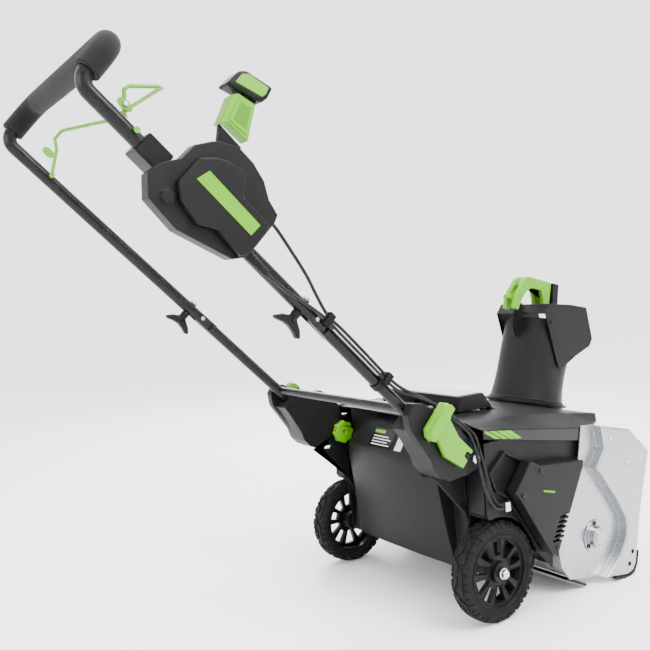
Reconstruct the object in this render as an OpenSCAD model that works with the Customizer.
// Cordless single-stage snow blower, working position, nose resting on its skid strips.
// +Y points forward (to the auger), +X to the operator's right, Z = 0 is the ground.
// Places along the machine are given from the wheel axle, which lies at Y = axle_y.

/* [Wheels] */
// Outer radius of the tyres
tyre_r = 101.5; // [98:0.5:104]
// Tyre width
tyre_w = 45; // [40:1:46]
// Radius where the tyre sits on the rim
rim_r = 75; // [70:1:78]
// Radius of the wheel axle
axle_r = 6; // [5:0.5:7]

/* [Auger] */
// Radius swept by the rubber paddles
paddle_r = 99; // [90:0.5:100]
// Thickness of the rubber paddles
paddle_t = 6; // [4:1:8]
// Radius of the auger shaft ends
shaft_r = 10; // [8:0.5:10]
// Radius of the steel drum between the paddles
drum_r = 19; // [16:1:22]

/* [Housing] */
// Sheet thickness of the auger housing
sheet = 3; // [2:0.5:3]
// Half of the inner width of the auger housing
inner_half = 263; // [263:0.5:264]
// How far the front of each side plate is raised
flange_h = 22; // [16:1:22]

/* [Body] */
// Wall thickness of the plastic body shells
wall = 4; // [3:0.5:5]
// Half width of the body at its side walls
body_half = 254; // [252:0.5:254]

/* [Chute] */
// Forward tilt of the chute's turning axis
chute_tilt = 13; // [10:1:16]
// Radius of the chute's turning spigot
spigot_r = 84; // [82:0.5:84]
// Half width of the deflector hood
deflector_half = 79; // [78.5:0.5:82]

/* [Handle] */
// Distance of each handle tube from the middle
tube_x = 220; // [220:0.5:221]
// Radius of the lower handle tubes
lower_r = 11.1; // [10.5:0.1:11.1]
// Radius of the upper handle tube
upper_r = 12.5; // [12:0.1:12.5]
// Lean of the handle from the vertical
lean = 46; // [44:1:48]
// Radius of the foam grip
foam_r = 20.5; // [18:0.5:20.5]
// Radius of the bail wire
bail_r = 3.5; // [3:0.25:3.5]

/* [Hidden] */
$fn = 48;
run_gap = 0.05;   // radial clearance of a running fit
axle_y = 97.8;    // the wheel axle, forward of the middle of the whole machine
axle_z = 101.5;
auger_y = 290;    // auger axis, forward of the wheel axle
auger_z = 109;
motor_y = 128;
motor_z = 215;
auger_pulley_r = 48;
motor_pulley_r = 17;
belt_t = 4;
ring_y = 394;     // centre of the chute ring
ring_z = 370;
foot_y = -190;    // where the handle tubes enter their brackets
foot_z = 445;
pivot = [20, -175];     // lower handle pivot, in the handle's own (n, t)
fold_t = 270;           // fold pin of the upper handle
knob_t = 304;           // wing knob bolt
corner_t = 791;         // where the upper tube turns into the grip
grip_leg = 87;
grip_turn = 86;         // angle between the upright and the grip leg
bail_pivot = [5, 691];
lever_pivot = [20, 560];
tilt_pivot = [-30, 196];  // deflector hinge in the chute's own (y, z)
charcoal = [0.17, 0.17, 0.18];
black = [0.07, 0.07, 0.07];
lime = [0.52, 0.85, 0.10];
silver = [0.80, 0.81, 0.83];
steel = [0.68, 0.69, 0.71];

// Places and outlines

module at_axle() translate([0, axle_y, 0]) children();
// a flat outline drawn as (forward, up) and raised along X from x0 to x1
module slab(x0, x1)
    translate([x0, axle_y, 0]) rotate([90, 0, 90]) linear_extrude(x1 - x0) children();
// the handle's frame: x across, n up and forward, t up along the tube
module in_handle() translate([0, axle_y + foot_y, foot_z]) rotate([lean, 0, 0]) children();
module slab_h(x0, x1)
    in_handle() translate([x0, 0, 0]) rotate([90, 0, 90]) linear_extrude(x1 - x0) children();
// the chute's frame: z along its turning axis
module on_ring() translate([0, axle_y + ring_y, ring_z]) rotate([-chute_tilt, 0, 0]) children();
module slab_c(x0, x1)
    on_ring() translate([x0, 0, 0]) rotate([90, 0, 90]) linear_extrude(x1 - x0) children();
// a round bar across the machine, its middle at (y, z)
module cross(y, z, x0, x1, r) translate([x0, y, z]) rotate([0, 90, 0]) cylinder(h = x1 - x0, r = r);
module mirror_side(side) mirror([side < 0 ? 1 : 0, 0, 0]) children();
module bolt_head(r, h) cylinder(h = h, r = r, $fn = 6);

function unit(v) = v / norm(v);
function left_of(v) = [-v[1], v[0]];
function arc(c, r, a0, a1, n = 8) =
    [for (i = [0:n]) let (a = a0 + (a1 - a0) * i / n) c + r * [cos(a), sin(a)]];
// a closed outline (counter-clockwise) moved inwards by d, corners kept sharp
function inset(p, d) = [for (i = [0:len(p) - 1])
    let (a = p[(i + len(p) - 1) % len(p)], b = p[i], c = p[(i + 1) % len(p)],
        m = left_of(unit(b - a)), n = left_of(unit(c - b)))
    b + d * (m + n) / (1 + m * n)];
// an open line thickened to its left by d
function beside(p, d) = [for (i = [0:len(p) - 1])
    let (m = left_of(unit(p[max(i, 1)] - p[max(i, 1) - 1])),
        n = left_of(unit(p[min(i, len(p) - 2) + 1] - p[min(i, len(p) - 2)])))
    p[i] + d * (m + n) / (1 + m * n)];
function turned(p) = [for (i = [len(p) - 1:-1:0]) p[i]];
function ribbon(p, d) = concat(turned(p), beside(p, d));

// A closed skin of thickness d behind a grid of points, whose outer side is along cross(columns, rows)
function grid_normal(g, i, j) = let (m = len(g) - 1, n = len(g[0]) - 1)
    unit(cross(g[i][min(j + 1, n)] - g[i][max(j - 1, 0)], g[min(i + 1, m)][j] - g[max(i - 1, 0)][j]));
module skin(g, d) {
    m = len(g);
    n = len(g[0]);
    b = m * n;
    front = [for (row = g) for (p = row) p];
    back = [for (i = [0:m - 1]) for (j = [0:n - 1]) g[i][j] - d * grid_normal(g, i, j)];
    cells = [for (i = [0:m - 2]) for (j = [0:n - 2]) i * n + j];
    faces = concat(
        [for (c = cells) [c, c + n, c + n + 1]],
        [for (c = cells) [c, c + n + 1, c + 1]],
        [for (c = cells) [b + c, b + c + n + 1, b + c + n]],
        [for (c = cells) [b + c, b + c + 1, b + c + n + 1]],
        [for (j = [0:n - 2]) each [[j, j + 1, b + j + 1], [j, b + j + 1, b + j]]],
        [for (j = [0:n - 2]) let (k = (m - 1) * n + j) each [[k + 1, k, b + k], [k + 1, b + k, b + k + 1]]],
        [for (i = [0:m - 2]) let (k = i * n) each [[k + n, k, b + k], [k + n, b + k, b + k + n]]],
        [for (i = [0:m - 2]) let (k = i * n + n - 1) each [[k, k + n, b + k + n], [k, b + k + n, b + k]]]);
    polyhedron(concat(front, back), faces);
}
// A closed solid through rings that run counter-clockwise seen from the last ring
module loft(rings) {
    m = len(rings);
    n = len(rings[0]);
    points = [for (r = rings) each r];
    sides = [for (i = [0:m - 2]) for (j = [0:n - 1])
        let (a = i * n + j, b = i * n + (j + 1) % n) each [[a, a + n, b + n], [a, b + n, b]]];
    polyhedron(points, concat(sides, [[for (j = [0:n - 1]) j]],
        [[for (j = [n - 1:-1:0]) (m - 1) * n + j]]));
}
// A round tube of radius r along a smooth line of points
function tangent(p, i) = unit(p[min(i + 1, len(p) - 1)] - p[max(i - 1, 0)]);
function ring_about(c, t, r, n) = let (u = unit(cross(t, [1, 0.02, 0.03])), v = cross(t, u))
    [for (k = [0:n - 1]) c + r * (cos(360 * k / n) * u + sin(360 * k / n) * v)];
module sweep(p, r, n = 8) loft([for (i = [0:len(p) - 1]) ring_about(p[i], tangent(p, i), r, n)]);
// a smooth curve through the points, s steps to each span
function spline(p, s) = concat([for (i = [0:len(p) - 2]) for (k = [0:s - 1])
    let (u = k / s, a = p[max(i - 1, 0)], b = p[i], c = p[i + 1], d = p[min(i + 2, len(p) - 1)])
    0.5 * (2 * b + (c - a) * u + (2 * a - 5 * b + 4 * c - d) * u * u + (3 * b - a - 3 * c + d) * u * u * u)],
    [p[len(p) - 1]]);

// Auger housing

plate_top = [[300, 352], [404, 330], [472, 270], [432, 136], [409, 24], [398, 10], [375, 5], [300, 18]];
recess_edge = [[309, 23], [352, 55], [378, 90], [384, 112], [379, 135], [350, 178], [291, 252], [279, 262],
    [310, 301]];
plate_rear = [[230, 30], [204, 36], [180, 66], [171, 110], [178, 150], [192, 178], [248, 286], [262, 355]];
raised = turned(concat(plate_top, recess_edge));
plate_floor = concat(turned(plate_rear), [[300, 18]], recess_edge, [[300, 352]]);
housing_line = concat(arc([auger_y, auger_z], 109, 218, 150, 14), [[300, 347], [404, 326], [468, 268]]);

module auger_housing() color(silver)
    difference() {
        slab(-inner_half + 0.1, inner_half - 0.1) polygon(ribbon(housing_line, sheet));
        on_ring() translate([0, 0, -110]) cylinder(h = 120, r = spigot_r + 10);
    }
module side_plate() color(silver)
    difference() {
        union() {
            difference() {
                slab(inner_half + 0.6, inner_half + sheet + flange_h) polygon(raised);
                slab(inner_half - 1, inner_half + flange_h) polygon(inset(raised, sheet));
            }
            slab(inner_half, inner_half + sheet) polygon(inset(plate_floor, -1.5));
        }
        at_axle() cross(auger_y, auger_z, inner_half - 1, inner_half + 5, 13);
        at_axle() cross(387, 259, inner_half + 15, inner_half + 30, 4);
    }
module scraper_bar() color(black)
    slab(-inner_half + 2, inner_half - 2) polygon([[197, 33], [262, 2], [265, 5], [264, 8], [201, 38]]);
skid_outline = [[330, 12.6], [330, 7.6], [364, 0], [384, 0], [401, 4], [414, 22], [420, 51], [415, 52],
    [409.3, 24], [398, 9.8], [375, 4.8]];
module skid_strips() color(black)
    for (side = [-1, 1]) mirror_side(side)
        slab(inner_half + 4, inner_half + sheet + flange_h) polygon(skid_outline);
module bearing_caps() color(silver)
    at_axle() {
        difference() {
            union() {
                cross(auger_y, auger_z, inner_half + sheet, inner_half + sheet + 3, 36);
                cross(auger_y, auger_z, inner_half + sheet, inner_half + sheet + 17, 23);
                cross(auger_y, auger_z, inner_half + sheet, inner_half + sheet + 20, 17);
            }
            cross(auger_y, auger_z, inner_half, inner_half + sheet + 14, 20);
            for (a = [94, 214, 334])
                cross(auger_y + 29.5 * cos(a), auger_z + 29.5 * sin(a), inner_half, inner_half + 10, 2.6);
        }
        difference() {
            union() {
                cross(auger_y, auger_z, -inner_half, -inner_half + 3, 36);
                cross(auger_y, auger_z, -inner_half, -inner_half + 15, 24);
            }
            cross(auger_y, auger_z, -inner_half - 1, -inner_half + 13, 20);
            cross(auger_y, auger_z, -inner_half - 1, -inner_half + 16, shaft_r + 2);
        }
    }
module bearing(x) at_axle()
    difference() {
        cross(auger_y, auger_z, x, x + 12, 20 - run_gap);
        cross(auger_y, auger_z, x - 1, x + 13, shaft_r + run_gap);
    }
module auger_bearings() color(steel) {
    bearing(inner_half + sheet + 1);
    bearing(-inner_half + 0.5);
}

// Body

arch = concat([[-25, 218]], arc([0, axle_z], 108, 100, 22, 8), [[118, 112], [150, 80]]);
wide_side = concat([[-25, 362]], arch, [[164, 68], [169, 109], [188, 172], [272, 322],
    [174, 350], [40, 366]]);
belly = [[-16, 92], [60, 66], [164, 60]];
narrow_side = concat([[-16, 92], [60, 66], [164, 60], [168, 109], [150, 80], [118, 112]],
    turned(arc([0, axle_z], 108, 100, 22, 8)), [[-25, 218], [-24, 163]]);
inner_wall = 205;

module lower_body() color(charcoal)
    difference() {
        union() {
            for (side = [-1, 1]) mirror_side(side) {
                slab(body_half - wall, body_half) polygon(wide_side);
                slab(inner_wall - wall, inner_wall) polygon(narrow_side);
                slab(inner_wall - wall, body_half) polygon(ribbon(arch, wall));
                slab(inner_wall - wall, body_half) polygon([[-24.5, 218.2], [-21, 218.2], [-21, 361.5], [-24.5, 361.5]]);
            }
            slab(-inner_wall, inner_wall) polygon(ribbon(belly, wall));
        }
        at_axle() cross(0, axle_z, -inner_wall - 1, inner_wall + 1, axle_r + run_gap);
        at_axle() cross(motor_y, motor_z, -body_half - 1, -body_half + wall + 1, 12);
    }

// half of a hood station, from the side's lower edge to the middle
hood_half = [
    [[250, -48, 374], [250, -48, 392], [205, -46, 398], [120, -46, 400], [0, -46, 400]],
    [[262, 40, 361], [262, 40, 383], [215, 40, 398], [120, 40, 400], [0, 40, 400]],
    [[262, 145, 342], [262, 145, 368], [218, 145, 394], [120, 145, 396], [0, 145, 396]],
    [[262, 274, 321], [262, 282, 349], [226, 282, 377], [110, 290, 379], [0, 296, 381]],
    [[240, 340, 344], [238, 352, 352], [228, 363, 366], [118, 420, 352], [0, 486, 334]],
    [[236, 346, 343], [233, 360, 346], [222, 374, 343], [112, 436, 326], [0, 500, 312]]];
function mirrored(p) = [for (i = [len(p) - 2:-1:0]) [-p[i][0], p[i][1], p[i][2]]];
// whole stations from half ones, each running from the right to the left
function across(half) = [for (row = half) [for (p = concat(row, mirrored(row))) p + [0, axle_y, 0]]];
module hood() color(charcoal)
    difference() {
        skin([for (row = across(hood_half)) turned(row)], wall);
        translate([-121, axle_y + 34, 340]) cube([242, 106, 90]);
        translate([-142, axle_y + 134, 385]) cube([284, 19, 45]);
        on_ring() translate([0, 0, -120]) cylinder(h = 150, r = spigot_r + 9);
        on_ring() translate([0, 0, -9]) cylinder(h = 40, r = spigot_r + 18);
        for (side = [-1, 1]) translate([side * tube_x - 34, axle_y - 60, 330]) cube([68, 35, 90]);
        slab(-inner_half, inner_half)
            polygon(concat(beside(housing_line, sheet + 0.5), [[474, 200], [250, 100]]));
    }

rear_half = [
    [[188, -16, 388], [84, -16, 388], [78, -24, 388], [40, -24, 388], [0, -24, 388]],
    [[188, -16, 367], [108, -16, 367], [102, -42, 367], [57, -45, 367], [0, -45, 367]],
    [[188, -16, 321], [150, -16, 321], [144, -60, 321], [57, -74, 321], [0, -74, 321]],
    [[188, -16, 298], [153, -16, 298], [147, -60, 298], [57, -76, 298], [0, -76, 298]],
    [[188, -16, 205], [155, -16, 205], [150, -45, 205], [57, -55, 205], [0, -55, 205]],
    [[188, -16, 155], [158, -16, 155], [153, -36, 155], [57, -46, 155], [0, -46, 155]],
    [[188, -21, 93], [166, -21, 93], [161, -26, 93], [57, -30, 93], [0, -30, 93]]];
module rear_panel() color(charcoal) skin(across(rear_half), wall);

// handle bracket: two cheeks, the wall behind the tube and the leg down to the wheel
outer_cheek = [[9, 20], [-15, 16], [-33, -8], [-46, -84], [-56, -104], [-57, -127], [-49, -150],
    [-15, -180], [12, -196], [40, -190], [44, -150], [36, -60], [33, -40], [23, 0]];
inner_cheek = [[10, -12], [-30, -14], [-33, -30], [-46, -84], [-56, -104], [-57, -127], [-49, -150],
    [-15, -180], [12, -196], [40, -190], [73, -112], [60, -65], [36, -43], [33, -37], [27, -9]];
back_wall = [[-14, -14], [-30, -14], [-33, -30], [-46, -84], [-56, -104], [-57, -127], [-49, -150],
    [-15, -180], [12, -200], [16, -196], [-2, -188], [-14, -160]];
bracket_leg = [[-118, 306], [-104, 296], [-30, 215], [-6, 160], [2, 130], [14, 99], [24, 104], [22, 215],
    [-28, 226], [-28, 372], [-48, 372], [-60, 330], [-80, 300]];
module bracket() color(charcoal)
    difference() {
        union() {
            slab_h(tube_x + 13, tube_x + 32) polygon(outer_cheek);
            slab_h(tube_x - 30, tube_x - 13) polygon(inner_cheek);
            slab_h(tube_x - 20, tube_x + 20) polygon(back_wall);
            slab(tube_x - 30, inner_wall - wall - 0.5) polygon(bracket_leg);
        }
        in_handle() cross(pivot[0], pivot[1], tube_x - 40, tube_x + 40, 5 + run_gap);
        slab_h(tube_x + 12, tube_x + 33) polygon([[-7, -68], [7, -68], [7, -46], [-7, -46]]);
        slab(tube_x - 40, tube_x + 40) polygon([[-26, 400], [-26, 231], [80, 231], [80, 400]]);
        slab(inner_wall - wall - 0.5, tube_x + 40) polygon([[-26, 240], [-26, 190], [80, 190], [80, 240]]);
    }
module latch_hinge() color(charcoal) {
    slab_h(tube_x + 31, tube_x + 44) polygon([[4, -152], [13, -152], [13, -139.5], [4, -139.5]]);
    in_handle() translate([tube_x + 40, -18, -145]) rotate([-90, 0, 0]) cylinder(h = 43, r = 2.5);
}
module bracket_and_hinge() {
    bracket();
    latch_hinge();
}
module pivot_bolts() color(steel)
    for (side = [-1, 1]) mirror_side(side) in_handle() {
        cross(pivot[0], pivot[1], tube_x - 40, tube_x + 32, 5);
        translate([tube_x + 32, pivot[0], pivot[1]]) rotate([0, 90, 0]) bolt_head(9, 5);
    }
module pivot_knob() color(lime)
    in_handle() difference() {
        translate([tube_x - 48, pivot[0], pivot[1]]) rotate([0, 90, 0]) union() {
            cylinder(h = 14, r = 24);
            for (k = [0:7]) rotate(45 * k) translate([21, 0, 0]) cylinder(h = 14, r = 5.5, $fn = 24);
            cylinder(h = 17.7, r = 14);
        }
        cross(pivot[0], pivot[1], tube_x - 50, tube_x - 29, 5 + run_gap);
    }

// battery bay
lid_outline = [[36, 402], [36, 436], [112, 436], [136, 404], [136, 402]];
module battery_tray() color(black) at_axle() {
    difference() {
        translate([-117, 40, 246]) cube([234, 95, 142]);
        translate([-113, 44, 250]) cube([226, 87, 150]);
    }
    for (side = [-1, 1]) mirror_side(side)
        difference() {
            translate([100, 135, 360]) cube([8, 15, 37]);
            cross(145, 393, 99, 109, 3 + run_gap);
        }
}
module battery() color(black) at_axle() {
    translate([-86, 48, 252]) cube([172, 78, 118]);
    translate([-40, 60, 370]) cube([80, 54, 10]);
}
module battery_lid() color(charcoal) {
    difference() {
        slab(-128, 128) polygon(turned(lid_outline));
        slab(-124, 124) polygon([[40, 390], [132, 390], [132, 402], [109, 432], [40, 432]]);
    }
    at_axle() {
        cross(145, 393, -140, 140, 3);
        for (side = [-1, 1]) mirror_side(side) {
            slab_lug(86, 98);
            slab_lug(110, 122);
        }
    }
}
module slab_lug(x0, x1)
    translate([x0, 0, 0]) rotate([90, 0, 90]) linear_extrude(x1 - x0)
        polygon([[130, 403], [136, 396], [141, 388.5], [147, 388.5], [149.5, 393], [147, 397.5], [137, 404]]);

// covers on the sides
case_outline = [[-4, 263], [24, 248], [116, 115], [141, 107], [234, 278], [235, 290], [96, 303],
    [66, 320], [24, 341], [-22, 304]];
cover_outline = [[22, 262], [36, 244], [122, 116], [141, 107], [234, 278], [235, 290], [98, 303],
    [70, 318]];
module controller_case() color(charcoal)
    difference() {
        slab(body_half + 0.3, inner_half - 0.6) polygon(case_outline);
        slab(body_half, inner_half + 1) polygon(inset(case_outline, 5));
    }
module controller_cover() color(charcoal)
    difference() {
        slab(inner_half - 0.3, inner_half + sheet + flange_h) polygon(cover_outline);
        slab(inner_half - 1, inner_half + flange_h) polygon(inset(cover_outline, wall));
        slab(inner_half - 1, inner_half + 30) for (k = [0:5])
            polygon([[128 + 5 * k, 138 + 9 * k], [160 + 5 * k, 138 + 9 * k], [160 + 5 * k, 142 + 9 * k],
                [128 + 5 * k, 142 + 9 * k]]);
    }
belt_outline = concat(arc([motor_y, motor_z], 42, 60, 240, 12), arc([auger_y, auger_z], 70, 240, 420, 14));
belt_rear = concat(arc([motor_y, motor_z], 41, 75, 240, 10), [[166, 150], [166, 225]]);
module belt_cover() color(charcoal)
    difference() {
        union() {
            slab(-290, -inner_half - sheet - 0.3) polygon(belt_outline);
            slab(-290, -body_half - 0.3) polygon(belt_rear);
        }
        slab(-287, -inner_half - sheet) polygon(inset(belt_outline, 3));
        slab(-287, -body_half) polygon(inset(belt_rear, 3));
    }

// Drive

belt_line = motor_pulley_r - auger_pulley_r;
belt_gap = norm([auger_y - motor_y, auger_z - motor_z]);
belt_dir = atan2(auger_z - motor_z, auger_y - motor_y);
belt_wrap = acos(belt_line / belt_gap);
function belt_loop(g) = concat(
    arc([motor_y, motor_z], motor_pulley_r + g, belt_dir + belt_wrap, belt_dir + 360 - belt_wrap, 12),
    arc([auger_y, auger_z], auger_pulley_r + g, belt_dir - belt_wrap, belt_dir + belt_wrap, 24));
module drive_belt() color(black)
    difference() {
        slab(-282, -272) polygon(belt_loop(0.4 + belt_t));
        slab(-283, -271) polygon(belt_loop(0.4));
    }
module auger_pulley() color(steel) at_axle()
    difference() {
        union() {
            cross(auger_y, auger_z, -284, -270, auger_pulley_r);
            cross(auger_y, auger_z, -270, -268, 22);
            cross(auger_y, auger_z, -286, -284, 18);
        }
        cross(auger_y, auger_z, -290, -266, shaft_r + run_gap);
    }
module motor() color(black) at_axle()
    difference() {
        union() {
            cross(motor_y, motor_z, -234, -166, 54);
            cross(motor_y, motor_z, -249, -234, 30);
            cross(motor_y, motor_z, -166, -158, 22);
        }
        cross(motor_y, motor_z, -228, -172, 50);
        cross(motor_y, motor_z, -250, -150, 6 + run_gap);
    }
module motor_rotor() color(steel) at_axle() {
    cross(motor_y, motor_z, -284, -152, 6);
    cross(motor_y, motor_z, -224, -176, 46);
    cross(motor_y, motor_z, -284, -270, motor_pulley_r);
}
module auger_shaft() color(steel) at_axle() {
    cross(auger_y, auger_z, -286, inner_half + sheet + 13, shaft_r);
    difference() {
        cross(auger_y, auger_z, -244, 258, drum_r);
        cross(auger_y, auger_z, -243, 257, drum_r - 3);
    }
    cross(auger_y, auger_z, -244, -240, drum_r - 1);
    cross(auger_y, auger_z, 254, 258, drum_r - 1);
}
module paddle_half(length, twist) for (a = [0, 180])
    linear_extrude(length, twist = twist, slices = 8, $fn = 8) rotate(a)
        polygon([[drum_r - 0.5, 0], [60, 6], [paddle_r - 3, 28], [paddle_r - 3.6, 28 - paddle_t],
            [62, -1], [drum_r, -paddle_t]]);
module auger_paddles() color(black) at_axle()
    translate([0, auger_y, auger_z]) rotate([0, 90, 0]) difference() {
        union() {
            paddle_half(257, 50);
            mirror([0, 0, 1]) paddle_half(243, 50);
        }
        translate([0, 0, -250]) cylinder(h = 512, r = drum_r + 0.1);
    }

// Wheels

module wheel_axle() color(steel) at_axle() cross(0, axle_z, -265, 265, axle_r);
module axle_bolts() color(steel) at_axle()
    for (side = [-1, 1]) mirror_side(side) translate([265, 0, axle_z]) rotate([0, 90, 0]) {
        cylinder(h = 2, r = 11);
        translate([0, 0, 2]) bolt_head(9.5, 7);
    }
tyre_mid = 239.5;
module tyre() color(black) translate([tyre_mid, axle_y, axle_z]) rotate([0, 90, 0])
    rotate_extrude($fn = 96) polygon([[rim_r + 0.1, -tyre_w / 2 + 4], [rim_r + 8, -tyre_w / 2],
        [tyre_r - 12, -tyre_w / 2], [tyre_r - 2, -tyre_w / 2 + 7], [tyre_r, 0],
        [tyre_r - 2, tyre_w / 2 - 7], [tyre_r - 12, tyre_w / 2], [rim_r + 8, tyre_w / 2],
        [rim_r + 0.1, tyre_w / 2 - 4]]);
module rim() color(charcoal) translate([tyre_mid, axle_y, axle_z]) rotate([0, 90, 0])
    difference() {
        union() {
            difference() {
                translate([0, 0, -18]) cylinder(h = 36, r = rim_r, $fn = 96);
                translate([0, 0, -19]) cylinder(h = 38, r = rim_r - 5, $fn = 96);
            }
            translate([0, 0, 4]) cylinder(h = 10, r = rim_r - 2, $fn = 96);
            translate([0, 0, -20]) cylinder(h = 43, r = 22);
        }
        for (k = [0:9]) rotate(36 * k) linear_extrude(20)
            polygon(k % 2 == 0 ? [[30, -5], [62, -15], [62, 15], [30, 5]]
                : [[34, -7.5], [62, -10], [62, 10], [34, 7.5]]);
        translate([0, 0, -21]) cylinder(h = 50, r = axle_r + run_gap);
    }

// Chute

module chute_ring() color(black)
    difference() {
        on_ring() {
            difference() {
                union() {
                    translate([0, 0, -8]) cylinder(h = 7.6, r = spigot_r + 16, $fn = 96);
                    translate([0, 0, -90]) cylinder(h = 83, r = spigot_r + 8, $fn = 96);
                }
                translate([0, 0, -95]) cylinder(h = 100, r = spigot_r, $fn = 96);
            }
        }
        translate([-120, axle_y + 250, 200]) cube([240, 260, 92]);
        slab(-120, 120) polygon([[240, 200], [300, 200], [300, 301], [345, 345], [240, 345]]);
    }
function chute_ring_at(z, w, back, front, e, d) = let (c = (front + back) / 2, h = (front - back) / 2)
    [for (k = [0:39]) let (a = 9 * k, s = sin(a), q = cos(a))
        [(w - d) * sign(q) * pow(abs(q), 2 / e), c + (h - d) * sign(s) * pow(abs(s), 2 / e), z]];
// height, half width, back, front, squareness of the tube at each level
chute_levels = [[0, 89, -89, 89, 2], [35, 81, -80, 88, 2.2], [70, 75, -72, 88, 2.6], [140, 73.5, -58, 92, 3.4],
    [206, 72, -47, 100, 4]];
function chute_rings(d, grow) = [for (i = [0:len(chute_levels) - 1]) let (l = chute_levels[i])
    chute_ring_at(l[0] + (i == 0 ? -grow : i == len(chute_levels) - 1 ? grow : 0), l[1], l[2], l[3], l[4], d)];
quadrant = concat([[-46, 196]], [[-46, 160]], arc(tilt_pivot, 52, 235, 118, 12), [[-46, 205]]);
module chute() color(charcoal) {
    on_ring() {
        difference() {
            loft(chute_rings(0, 0));
            loft(chute_rings(wall, 1));
            translate([-90, 0, 0]) rotate([90, 0, 90]) linear_extrude(180)
                polygon([[-38, 230], [10, 150], [70, 108], [140, 98], [140, 230]]);
        }
        difference() {
            union() {
                translate([0, 0, -14]) cylinder(h = 15, r = spigot_r - run_gap, $fn = 96);
                cylinder(h = 5, r = spigot_r + 8, $fn = 96);
            }
            translate([0, 0, -15]) cylinder(h = 30, r = spigot_r - 4, $fn = 96);
        }
        for (side = [-1, 1]) mirror_side(side)
            cross(tilt_pivot[0], tilt_pivot[1], 58.5, deflector_half + 2, 4);
    }
    slab_c(-3, 3) polygon(turned(quadrant));
}
deflector_side = [[-54, 214], [-42, 240], [40, 251], [100, 254], [137, 179], [129, 159], [79, 127],
    [28, 88], [13, 92]];
deflector_top = [[-54, 214], [-42, 240], [40, 251], [100, 254]];
module deflector() color(charcoal)
    difference() {
        union() {
            for (side = [-1, 1]) mirror_side(side)
                slab_c(deflector_half - 3, deflector_half) polygon(turned(deflector_side));
            slab_c(-deflector_half, deflector_half) polygon(ribbon(deflector_top, -3));
            slab_c(12, 24) polygon([[36, 249], [56, 252], [52, 306], [30, 306]]);
        }
        on_ring() cross(tilt_pivot[0], tilt_pivot[1], -90, 90, 4 + run_gap);
        slab_c(-5, 5) polygon([[-90, 180], [-20, 180], [-20, 250], [-90, 250]]);
    }
handle_outer = [[-84, 278], [-72, 300], [-60, 307], [24, 307], [28, 300], [28, 249.6], [6, 246.6], [2, 262],
    [-8, 280], [-44, 280], [-62, 268], [-76, 244], [-84, 218], [-100, 220], [-98, 252]];
module deflector_handle() color(lime)
    difference() {
        union() {
            slab_c(-20, -8) polygon(turned(handle_outer));
            slab_c(8, 20) polygon(turned(handle_outer));
            slab_c(-20, 11.5) polygon([[-70, 284], [-60, 307], [24, 307], [28, 300], [28, 284]]);
        }
        on_ring() cross(-86, 250, -25, 25, 3 + run_gap);
    }
module deflector_trigger() color(lime) {
    slab_c(-6, 6) polygon([[-116, 244], [-116, 252], [-98, 256], [-88, 258], [-80, 254], [-80, 246], [-88, 242]]);
    on_ring() cross(-86, 250, -20, 20, 3);
}

// Lower handle

module lower_tube() color(black) in_handle()
    difference() {
        union() {
            translate([tube_x, 0, -150]) cylinder(h = fold_t - 179, r = lower_r);
            translate([tube_x, 0, -60]) cylinder(h = fold_t - 29 + 60, r = lower_r);
            intersection() {
                translate([tube_x - 6, -lower_r, fold_t - 40]) cube([12, 2 * lower_r, 60]);
                union() {
                    cross(0, fold_t, tube_x - 7, tube_x + 7, lower_r);
                    translate([tube_x - 7, -20, fold_t - 41]) cube([14, 40, 41]);
                }
            }
            translate([tube_x - 6, 0, 0]) rotate([90, 0, 90]) linear_extrude(12) union() {
                polygon([[-lower_r, -110], [-lower_r, -150], [6, -183], [34, -166], [lower_r, -110]]);
                translate(pivot) circle(r = 16);
            }
        }
        translate([tube_x, 0, -100]) cylinder(h = fold_t + 60, r = lower_r - 2);
        cross(0, fold_t, tube_x - 20, tube_x + 20, 4 + run_gap);
        cross(pivot[0], pivot[1], tube_x - 20, tube_x + 20, 5 + run_gap);
        translate([tube_x + 5, -6, -67]) cube([10, 12, 20]);
    }
module lower_crossbar() color(black) in_handle()
    difference() {
        cross(3, 6, -tube_x, tube_x, 9);
        cross(3, 6, -tube_x - 1, tube_x + 1, 7);
        for (side = [-1, 1]) translate([side * tube_x, 0, -30]) cylinder(h = 80, r = lower_r + 0.2);
    }
module tube_clip(t, r) in_handle()
    translate([tube_x, 0, t]) difference() {
        union() {
            translate([0, 0, -7]) cylinder(h = 14, r = r + 3);
            translate([0, 1.4, -7]) cube([24.6, 21.6, 14]);
        }
        translate([0, 0, -10]) cylinder(h = 20, r = r + 0.1);
        translate([r + 2.8, 4, -10]) cube([8.2, 16.6, 20]);
    }
module cable_clip_lower() color(black) tube_clip(89, lower_r);
lever_outline = [[24, -150.5], [16, -150.5], [14, -138], [3, -138], [1, -150.5], [-17, -150.5], [-26, -99], [-12, -62],
    [-25, -52], [-24, -36], [-15, -26], [46, -26], [54, -38], [53, -54], [34, -65], [23, -103]];
module latch_lever() color(lime) {
    difference() {
        slab_h(tube_x + 35, tube_x + 45) polygon(turned(lever_outline));
        in_handle() cross_n(-145, tube_x + 40, 2.5 + run_gap);
    }
    slab_h(tube_x + 40, tube_x + 58) polygon([[-25, -50], [-24, -38], [-15, -28], [46, -28], [52, -38], [51, -50]]);
    slab_h(tube_x + 11.6, tube_x + 36) polygon([[-5, -62], [5, -62], [5, -55], [-5, -55]]);
}
module cross_n(t, x, r) translate([x, -60, t]) rotate([-90, 0, 0]) cylinder(h = 120, r = r);

// Upper handle

corner_bend = 22;
corner_reach = corner_bend * tan(grip_turn / 2);
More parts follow.
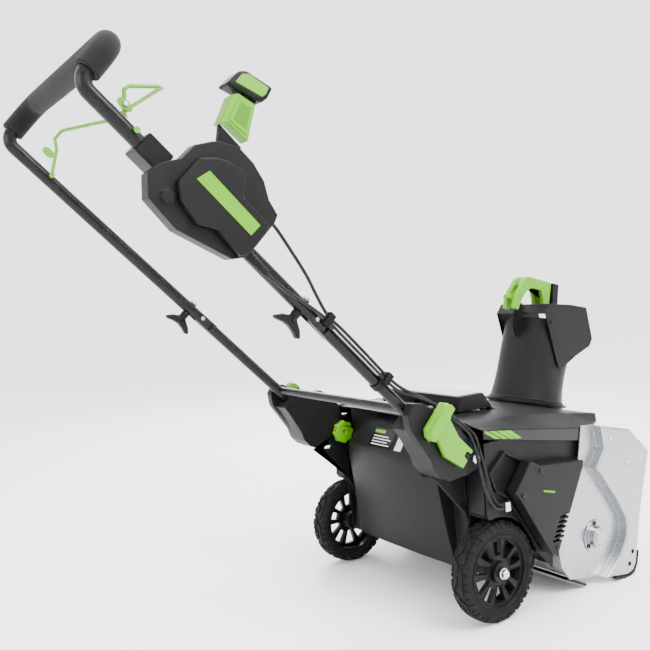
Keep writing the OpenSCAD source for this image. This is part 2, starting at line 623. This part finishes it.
// the uprights and their corner bends, from foot up, at radius r; over turns the bends a little further
module uprights(r, foot, over = 0) in_handle()
    for (side = [-1, 1]) mirror_side(side) {
        translate([tube_x, 0, foot]) cylinder(h = corner_t - corner_reach - foot, r = r);
        translate([tube_x, corner_bend, corner_t - corner_reach]) rotate([0, -90, 0]) rotate([0, 0, 270])
            rotate_extrude(angle = grip_turn + over) translate([corner_bend, 0]) circle(r = r);
    }
module on_grip() in_handle() translate([0, 0, corner_t]) rotate([-grip_turn, 0, 0]) children();
// the loop beyond the corner, standing along its own Z
module grip_loop(r, from, r_bend = 40) {
    for (side = [-1, 1]) mirror_side(side) {
        translate([tube_x, 0, from]) cylinder(h = grip_leg - r_bend - from, r = r);
        translate([tube_x - r_bend, 0, grip_leg - r_bend]) rotate([90, 0, 0])
            rotate_extrude(angle = 90) translate([r_bend, 0]) circle(r = r);
    }
    translate([-tube_x + r_bend, 0, grip_leg]) rotate([0, 90, 0])
        cylinder(h = 2 * (tube_x - r_bend), r = r);
}
// the sleeve that joins each bend to the loop
module grip_sleeves() on_grip()
    for (side = [-1, 1]) mirror_side(side) translate([tube_x, 0, corner_reach - 2]) difference() {
        cylinder(h = 7, r = upper_r + 0.6);
        translate([0, 0, -1]) cylinder(h = 9, r = upper_r - 2.4);
    }
module upper_handle() color(black) {
    difference() {
        uprights(upper_r, fold_t - 23);
        uprights(upper_r - 2, fold_t - 24, 4);
        in_handle() for (side = [-1, 1]) mirror_side(side) {
            translate([tube_x - 6.5, -20, fold_t - 30]) cube([13, 40, 56]);
            cross(0, fold_t, tube_x - 20, tube_x + 20, 4 + run_gap);
            translate([tube_x, -20, knob_t]) rotate([-90, 0, 0]) cylinder(h = 40, r = 4 + run_gap);
            cross(bail_pivot[0], bail_pivot[1], tube_x - 20, tube_x + 20, bail_r + run_gap);
        }
    }
    on_grip() difference() {
        grip_loop(upper_r, corner_reach + 0.5);
        grip_loop(upper_r - 2, corner_reach - 1);
    }
    grip_sleeves();
}
module foam_grip() color(black)
    on_grip() difference() {
        grip_loop(foam_r, 20);
        grip_loop(upper_r + 0.1, 20);
        for (side = [-1, 1]) translate([side * tube_x, 0, 19]) cylinder(h = 8, r = upper_r + 0.7);
    }
module fold_bolts() color(steel) in_handle()
    for (side = [-1, 1]) mirror_side(side) {
        cross(0, fold_t, tube_x - 13.5, tube_x + 13.5, 4);
        translate([tube_x, -34, knob_t]) rotate([-90, 0, 0]) cylinder(h = 50, r = 4);
        translate([tube_x, upper_r, knob_t]) rotate([-90, 0, 0]) cylinder(h = 5, r = 8);
    }
module wing_knob() color(charcoal) in_handle()
    difference() {
        union() {
            translate([tube_x, -upper_r - 0.4, knob_t]) rotate([90, 0, 0]) cylinder(h = 20, r1 = 9, r2 = 7);
            translate([tube_x - 6, 0, knob_t]) rotate([90, 0, 90]) linear_extrude(12)
                polygon([[-26, 8], [-34, 22], [-45, 32], [-49, 27], [-44, 12], [-42, 0], [-44, -12], [-49, -27],
                    [-45, -32], [-34, -22], [-26, -8]]);
        }
        translate([tube_x, -38, knob_t]) rotate([-90, 0, 0]) cylinder(h = 30, r = 4 + run_gap);
    }
bail_line = [[202.6, 5, 691], [200, 7, 693], [200, 28, 718], [200, 52, 738], [199, 62, 736], [197, 98, 705],
    [188, 106, 699], [-38, 106, 698], [-52, 105, 699], [-188, 84, 731], [-198, 80, 733], [-200, 62, 732],
    [-200, 48, 716], [-200, 7, 693], [-202.6, 5, 691]];
module bail() color(lime) in_handle() {
    sweep(bail_line, bail_r - 0.1, 12);
    for (side = [-1, 1]) mirror_side(side) {
        cross(5, 691, tube_x - 15, tube_x + 17, bail_r);
        cross(5, 691, tube_x - 21, tube_x - 14.5, 4.8);
        cross(5, 691, tube_x + 16, tube_x + 18, 5);
    }
}

// Control head

head_outline = [[13, 622], [44, 620], [69, 604], [78, 596], [96, 566], [96, 534], [88, 502], [72, 477], [65, 450],
    [51, 446], [0, 447], [-26, 450], [-44, 465], [-73, 561], [-68, 621], [-41, 645], [-14, 640]];
cover_face = [[-21, 607], [29, 605], [51, 585], [62, 564], [69, 537], [37, 514.5], [36, 454], [-22, 452],
    [-36, 462], [-32, 516], [-48, 544], [-40, 586]];
head_in = tube_x + 14;
head_out = 262;
module head_base() color(charcoal) {
    difference() {
        slab_h(head_in, head_out) polygon(head_outline);
        slab_h(head_in + 3, head_out - 3) polygon(inset(turned(head_outline), 3));
        slab_h(head_in + 4.5, head_in + 18.5) polygon([[45, 470], [120, 440], [130, 680], [45, 650]]);
        slab_h(head_out - 4, head_out + 1) polygon(inset(turned(cover_face), 6));
    }
    in_handle() cross(lever_pivot[0], lever_pivot[1], head_in + 1, head_out - 6, 6);
    in_handle() difference() {
        translate([tube_x - 18, -18, 480]) cube([34, 36, 30]);
        translate([tube_x, 0, 470]) cylinder(h = 50, r = upper_r + 0.1);
    }
    in_handle() translate([head_out, -47, 602]) rotate([0, 90, 0]) bolt_head(12, 7);
    in_handle() translate([head_in + 12, -14, 399]) cylinder(h = 51.5, r1 = 5, r2 = 8);
}
module head_cover() color(charcoal)
    difference() {
        slab_h(head_out + 0.2, head_out + 13) polygon(turned(cover_face));
        slab_h(head_out, head_out + 10) polygon(inset(turned(cover_face), 3));
    }
module chute_lever() color(lime) {
    difference() {
        slab_h(head_in + 6, head_in + 17) union() {
            polygon([[8, 548], [8, 572], [80, 594], [104, 610], [104, 560], [80, 566], [30, 548]]);
            translate(lever_pivot) circle(r = 16);
        }
        in_handle() cross(lever_pivot[0], lever_pivot[1], head_in, head_out, 6 + run_gap);
    }
    slab_h(head_in, head_in + 24) polygon([[100, 612], [112, 603], [115, 556], [170, 586], [161, 620], [149, 627]]);
    slab_h(head_in + 4, head_in + 20) polygon([[160, 610], [168, 588], [186, 590], [184, 612]]);
    slab_h(head_in - 6, head_in + 30) polygon([[153, 644], [181, 581], [191, 581], [212, 583], [196, 636]]);
}
module switch_box() color(black) in_handle()
    difference() {
        translate([tube_x - 30, -18, 625]) cube([43.5, 38, 50]);
        translate([tube_x, 0, 620]) cylinder(h = 60, r = upper_r + 0.1);
        translate([tube_x - 31, 0, 650]) rotate([0, 90, 0]) cylinder(h = 8, r = 8 + run_gap);
    }
module start_button() color(lime) in_handle()
    translate([tube_x - 35, 0, 650]) rotate([0, 90, 0]) cylinder(h = 9, r = 8);

// Cables

// a point of the handle's frame, given from the axle
function held(x, n, t) = [x, foot_y + n * cos(lean) - t * sin(lean), foot_z + n * sin(lean) + t * cos(lean)];
// from the head's front and its strain relief to the lower clip
cable_front = [held(246, 54, 445.2), held(246, 53, 430), held(245, 46, 390), held(243, 36, 340), held(241, 24, 300),
    held(239.4, 15, 262), held(239, 16, 220), held(238.4, 16, 160), held(238, 15, 89.6)];
cable_rear = [held(246, -14, 398.6), held(245, -13, 380), held(243, -8, 345), held(241, 2, 300),
    held(239.4, 8, 262), held(238.6, 8, 220), held(238.4, 8, 160), held(238, 8, 89.6)];
// and on, in front of the bracket and down to the stop
cable_down = [held(238, 15, 88.4), held(238, 20, 50), held(238, 36, 0), held(240, 49, -50), held(244, 54, -100),
    held(254, 54, -140), [262, -48, 362], [264, -36, 318], [264, -24, 278], [263, -8, 246], [262, 12, 235]];
cable_back = [held(238, 8, 88.4), held(239, 12, 50), held(240, 28, 10), held(241, 41, -30), held(245, 46, -80),
    held(254, 47, -125), [261, -58, 364], [268, -52, 318], [270, -40, 270], [267, -16, 238], [262, 12, 228]];
cable_r = 3;
module cable(p) at_axle() sweep(spline(p, 3), cable_r);
module cables_upper() color(black) {
    cable(cable_front);
    cable(cable_rear);
}
module cables_lower() color(black) {
    cable(cable_down);
    cable(cable_back);
}
module cable_clip_upper() color(black) in_handle()
    difference() {
        translate([tube_x + upper_r + 0.2, 0, 249]) cube([12, 23, 14]);
        translate([tube_x + upper_r + 2.8, 3.8, 245]) cube([8, 16.6, 20]);
    }
module cable_stop() color(steel) at_axle()
    difference() {
        translate([body_half + 0.3, 14, 222]) cube([14, 14, 19]);
        translate([body_half + 4, 18, 215]) cube([6, 6, 30]);
    }

module screw(y, z, x, r = 5) translate([x, y, z]) rotate([0, 90, 0]) difference() {
    cylinder(h = 2, r = r);
    translate([0, 0, 1]) bolt_head(2.5, 2);
}
module body_screws() color(black) at_axle() {
    for (p = [[98, 292], [44, 253], [140, 124]]) screw(p[0], p[1], inner_half + sheet + flange_h + 0.05);
    for (a = [94, 214, 334]) screw(auger_y + 29.5 * cos(a), auger_z + 29.5 * sin(a), inner_half + sheet + 3.05);
}

auger_housing();
side_plate();  // side_plate_right
mirror([1, 0, 0]) side_plate();  // side_plate_left
scraper_bar();
skid_strips();
bearing_caps();
auger_bearings();
lower_body();
hood();
battery_tray();
battery();
rear_panel();
bracket_and_hinge();  // bracket_right
mirror([1, 0, 0]) bracket_and_hinge();  // bracket_left
controller_case();
controller_cover();
belt_cover();
drive_belt();
motor();
wheel_axle();
axle_bolts();
chute_ring();
cable_stop();
body_screws();
pivot_bolts();
cables_lower();
tyre();  // tyre_right
rim();  // rim_right
mirror([1, 0, 0]) tyre();  // tyre_left
mirror([1, 0, 0]) rim();  // rim_left
auger_shaft();
auger_paddles();
auger_pulley();
motor_rotor();
chute();
deflector();
deflector_handle();
deflector_trigger();
battery_lid();
lower_tube();  // lower_tube_right
mirror([1, 0, 0]) lower_tube();  // lower_tube_left
lower_crossbar();
cable_clip_lower();
latch_lever();  // latch_lever_right
mirror([1, 0, 0]) latch_lever();  // latch_lever_left
pivot_knob();  // pivot_knob_right
mirror([1, 0, 0]) pivot_knob();  // pivot_knob_left
upper_handle();
foam_grip();
fold_bolts();
head_base();
head_cover();
switch_box();
cable_clip_upper();
cables_upper();
wing_knob();  // wing_knob_right
mirror([1, 0, 0]) wing_knob();  // wing_knob_left
bail();
chute_lever();
start_button();
